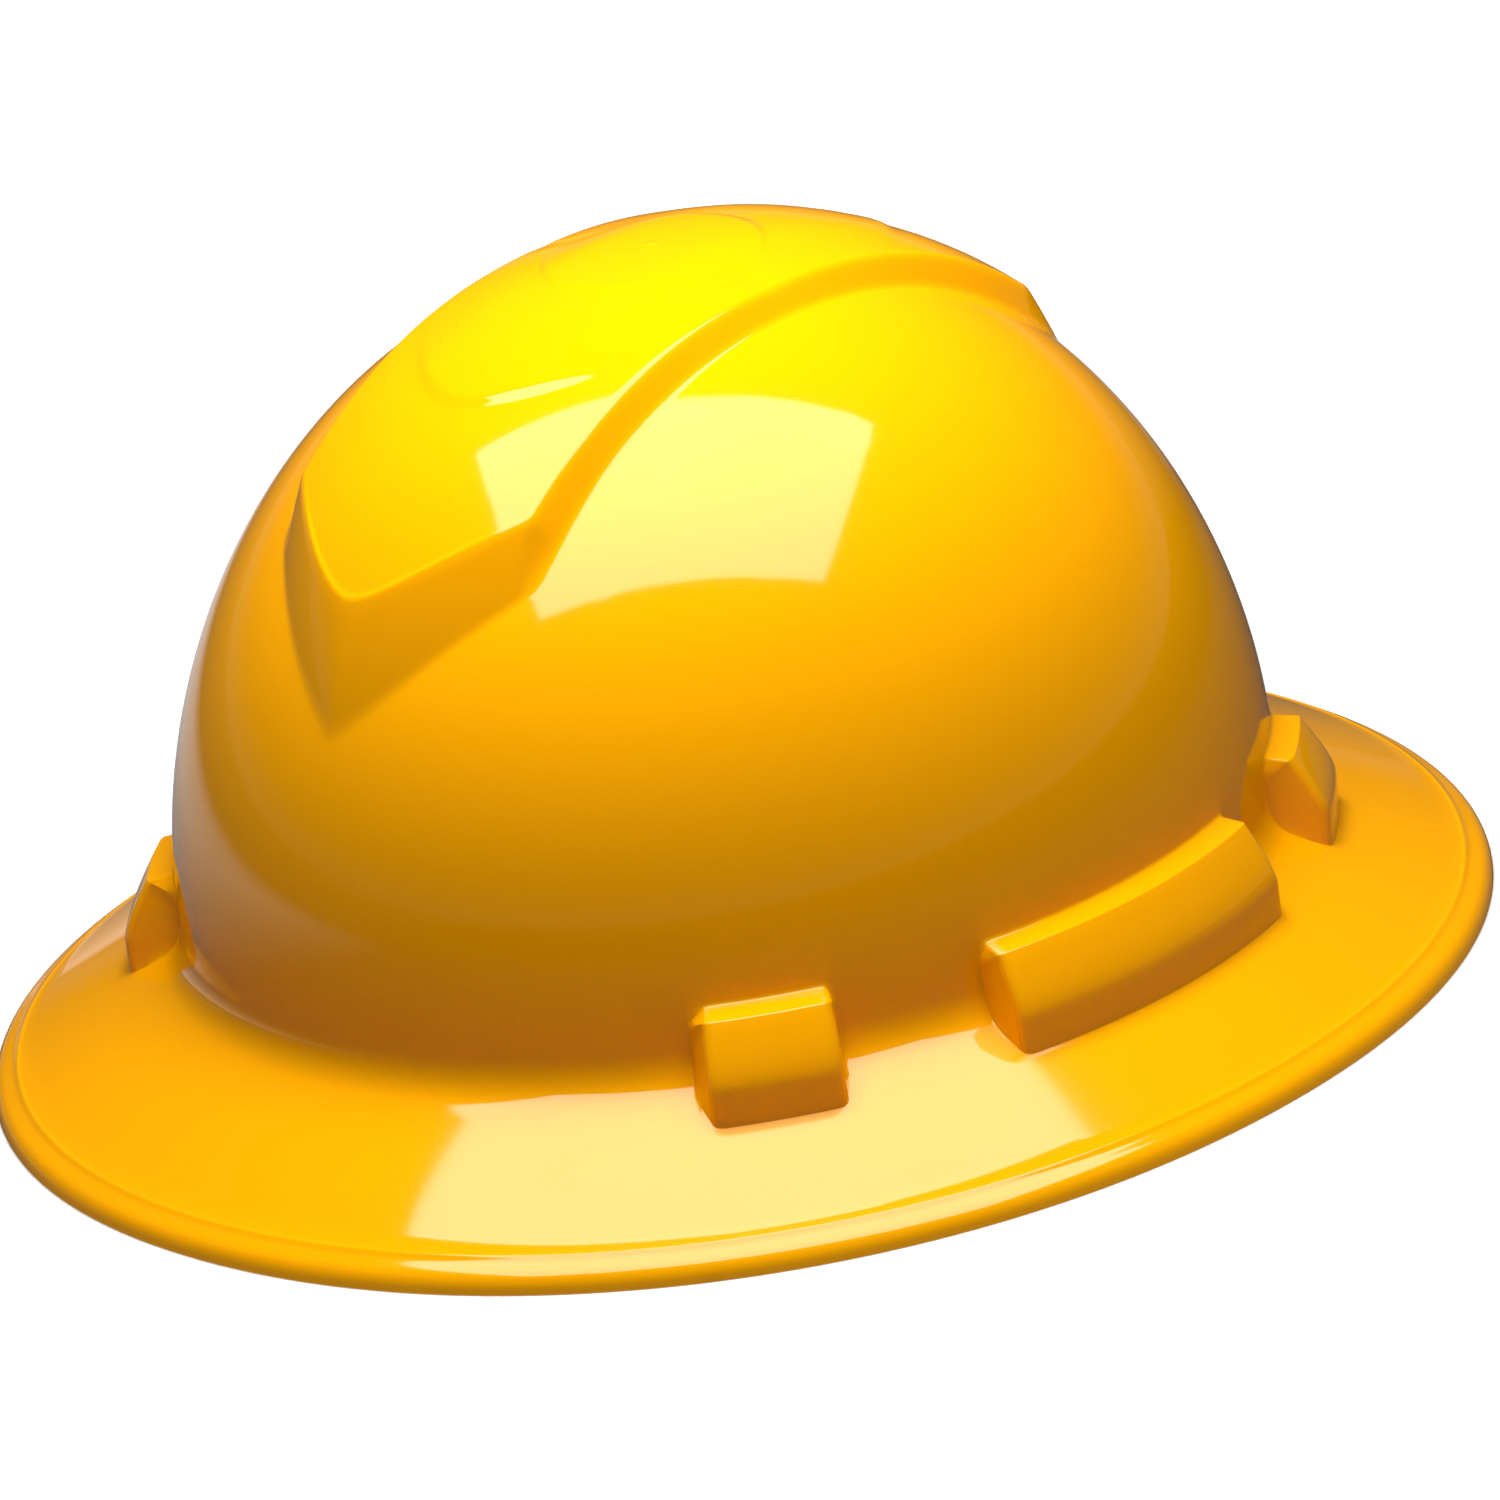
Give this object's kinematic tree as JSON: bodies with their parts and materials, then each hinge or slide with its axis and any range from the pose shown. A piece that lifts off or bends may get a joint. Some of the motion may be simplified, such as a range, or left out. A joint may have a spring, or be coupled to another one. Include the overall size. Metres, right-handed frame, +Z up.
{
  "type": "full brim hard hat",
  "caption": "Glossy yellow hard hat with a full brim, a raised crown band and side bosses, over a strap suspension with a ratchet headband.",
  "frame": {"origin": "middle of the hat's outline, on the flat lower edge of the brim", "axes": "+Z up through the crown, -Y towards the front of the hat, +X towards the wearer's left"},
  "size_m": [0.295, 0.32, 0.1572],
  "materials": {
    "shell_abs": "high gloss, as moulded",
    "moulded_black": "fine spark texture",
    "band_plastic": "satin",
    "gear_plastic": "satin",
    "woven_strap": "woven",
    "soft_pad": "foam under knitted cloth",
    "screw_steel": "zinc plated"
  },
  "bodies": {
    "shell_body": {"shell": "shell_abs", "front_left_key": "moulded_black", "front_right_key": "moulded_black", "rear_left_key": "moulded_black", "rear_right_key": "moulded_black", "crown_strap_lower": "woven_strap", "crown_strap_upper": "woven_strap", "crown_patch": "soft_pad"},
    "headband_body": {"headband": "band_plastic", "brow_pad": "soft_pad", "nape_pad": "soft_pad", "case_base": "moulded_black", "case_cover": "moulded_black", "case_screws": "screw_steel"},
    "left_rack": {"left_rack_strap": "band_plastic"},
    "right_rack": {"right_rack_strap": "band_plastic"},
    "knob_body": {"knob": "moulded_black", "pawl_spring": "gear_plastic", "pinion": "gear_plastic", "axle_screw": "screw_steel"}
  },
  "joints": [
    {"name": "headband_height", "type": "slide", "parent": "shell_body", "child": "headband_body", "axis": [0, 0, 1], "range_m": [-0.008, 0]},
    {"name": "knob_turn", "type": "hinge", "parent": "headband_body", "child": "knob_body", "pos_m": [0, 0.095, 0.02], "axis": [0, -1, 0], "range_deg": [-280, 280]},
    {"name": "left_rack_slide", "type": "hinge", "parent": "headband_body", "child": "left_rack", "pos_m": [0, 0.009, 0.02], "axis": [0, 0, 1], "range_deg": [-17, 17]},
    {"name": "right_rack_slide", "type": "hinge", "parent": "headband_body", "child": "right_rack", "pos_m": [0, 0.009, 0.02], "axis": [0, 0, -1], "range_deg": [-17, 17]}
  ],
  "couplings": [
    {"joint": "left_rack_slide", "follows": "knob_turn", "ratio": 0.060459},
    {"joint": "right_rack_slide", "follows": "knob_turn", "ratio": 0.059102}
  ]
}
